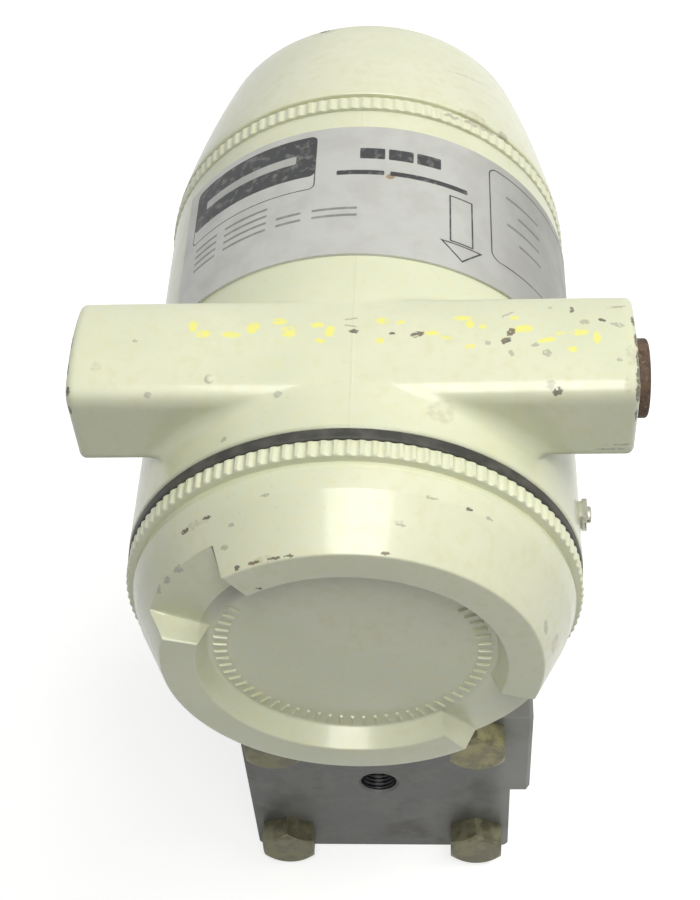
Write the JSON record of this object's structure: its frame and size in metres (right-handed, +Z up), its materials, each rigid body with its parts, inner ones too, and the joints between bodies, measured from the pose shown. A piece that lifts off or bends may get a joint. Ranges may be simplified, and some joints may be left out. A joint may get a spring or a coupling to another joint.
{
  "type": "pressure transmitter",
  "caption": "Field pressure transmitter: painted cast housing with screwed covers and a conduit crossbar, swivelling on a sensor body bolted between steel process heads.",
  "frame": {"origin": "on the neck axis, at the underside of the process heads, in the middle of the bracket holes", "axes": "+Z up along the neck, -Y towards the front cover, +X towards the plugged conduit hub and the process pads"},
  "size_m": [0.1411, 0.2, 0.2516],
  "materials": {
    "cream_paint": "glossy cream paint over cast aluminium, chipped and scuffed",
    "black_rubber": "matt black rubber",
    "plate_aluminium": "brushed grey plate",
    "rusty_iron": "rust brown",
    "bright_steel": "turned stainless steel",
    "head_steel": "dull dark grey machined steel",
    "zinc_steel": "dulled yellow zinc",
    "white_gasket": "white moulded ring",
    "black_plastic": "moulded black plastic",
    "brass_screws": "plain brass",
    "green_board": "green lacquered board",
    "grey_ribbon": "grey flat lead"
  },
  "bodies": {
    "meter_body": {"front_process_head": "head_steel", "rear_process_head": "head_steel", "front_head_gasket": "white_gasket", "rear_head_gasket": "white_gasket", "front_diaphragm": "bright_steel", "rear_diaphragm": "bright_steel", "head_bolts": "zinc_steel", "head_nuts": "zinc_steel", "sensor_body": "bright_steel", "neck_seal_ring": "black_rubber", "sensor_header": "bright_steel"},
    "housing": {"electronics_housing": "cream_paint", "lock_screw": "bright_steel", "ground_clamp": "bright_steel", "ground_screw": "bright_steel", "conduit_plug": "rusty_iron", "nameplate": "plate_aluminium", "terminal_block": "black_plastic", "terminal_screws": "brass_screws", "block_screws": "bright_steel", "feedthrough": "bright_steel", "board_spacers": "brass_screws", "power_board": "green_board", "main_board": "green_board", "board_screws": "bright_steel", "ribbon_plug": "black_plastic", "sensor_ribbon": "grey_ribbon"},
    "front_seal": {"front_cover_seal": "black_rubber"},
    "front_cover": {"front_cover": "cream_paint"},
    "rear_seal": {"rear_cover_seal": "black_rubber"},
    "rear_cover": {"rear_cover": "cream_paint"}
  },
  "joints": [
    {"name": "housing_swivel", "type": "hinge", "parent": "meter_body", "child": "housing", "pos_m": [0, 0, 0.112], "axis": [0, 0, 1], "range_deg": [-180, 180]},
    {"name": "front_cover_travel", "type": "slide", "parent": "housing", "child": "front_seal", "axis": [0, -1, 0], "range_m": [0, 0.0121]},
    {"name": "front_cover_turn", "type": "hinge", "parent": "front_seal", "child": "front_cover", "pos_m": [0, -0.0744, 0.191], "axis": [0, -1, 0], "range_deg": [0, 2160]},
    {"name": "rear_cover_travel", "type": "slide", "parent": "housing", "child": "rear_seal", "axis": [0, 1, 0], "range_m": [0, 0.0121]},
    {"name": "rear_cover_turn", "type": "hinge", "parent": "rear_seal", "child": "rear_cover", "pos_m": [0, 0.0466, 0.191], "axis": [0, 1, 0], "range_deg": [0, 2160]}
  ],
  "couplings": [
    {"joint": "front_cover_travel", "follows": "front_cover_turn", "m_per_rad": 0.00031831},
    {"joint": "rear_cover_travel", "follows": "rear_cover_turn", "m_per_rad": 0.00031831}
  ]
}
